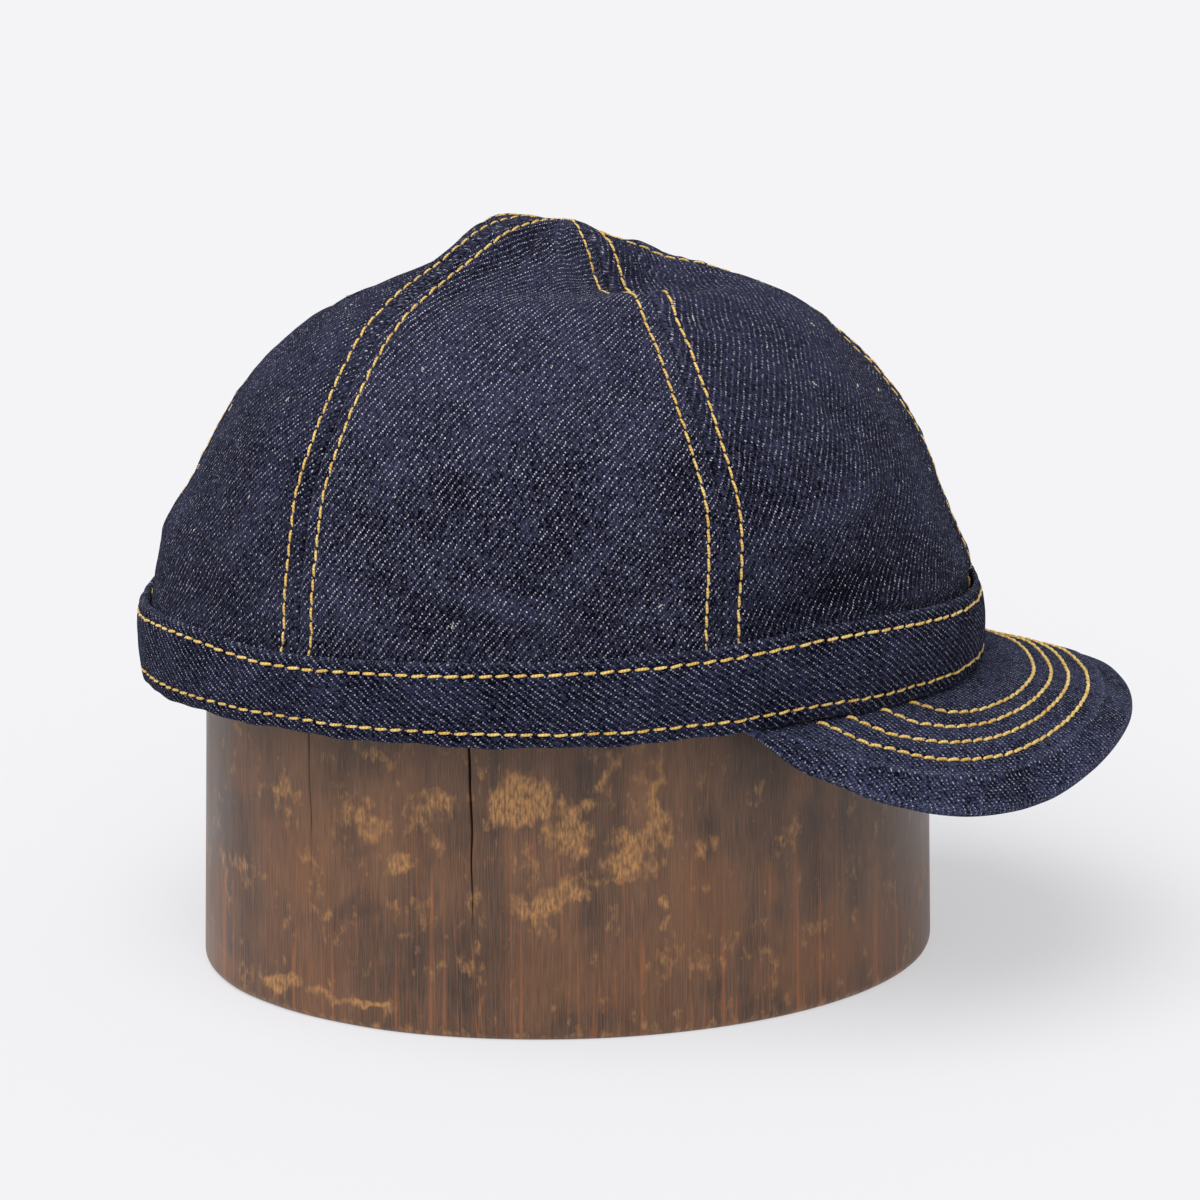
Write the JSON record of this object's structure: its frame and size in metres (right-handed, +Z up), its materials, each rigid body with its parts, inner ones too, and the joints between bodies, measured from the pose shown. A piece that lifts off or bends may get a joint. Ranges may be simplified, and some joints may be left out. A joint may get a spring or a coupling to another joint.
{
  "type": "mechanic cap on a wooden hat block",
  "caption": "Panelled denim work cap with a folded band and a short curved peak, resting on a plain oval wooden block.",
  "frame": {"origin": "middle of the block's flat foot", "axes": "+X forwards to the peak, +Y to the wearer's left, +Z up"},
  "size_m": [0.248, 0.174, 0.1875],
  "materials": {
    "denim_crown": "raw indigo twill, matt, with pale weft flecks",
    "denim_band": "raw indigo twill laid on the other diagonal, matt",
    "denim_peak": "raw indigo twill, matt, with rows of gold topstitching",
    "block_wood": "old dark brown wood, worn satin with scuffs"
  },
  "bodies": {
    "root": {"crown_panel_front_left": "denim_crown", "crown_panel_front_right": "denim_crown", "crown_panel_side_left": "denim_crown", "crown_panel_side_right": "denim_crown", "crown_panel_back_left": "denim_crown", "crown_panel_back_right": "denim_crown", "band": "denim_band", "peak_upper": "denim_peak", "peak_under": "denim_peak", "hat_block": "block_wood"}
  },
  "joints": []
}
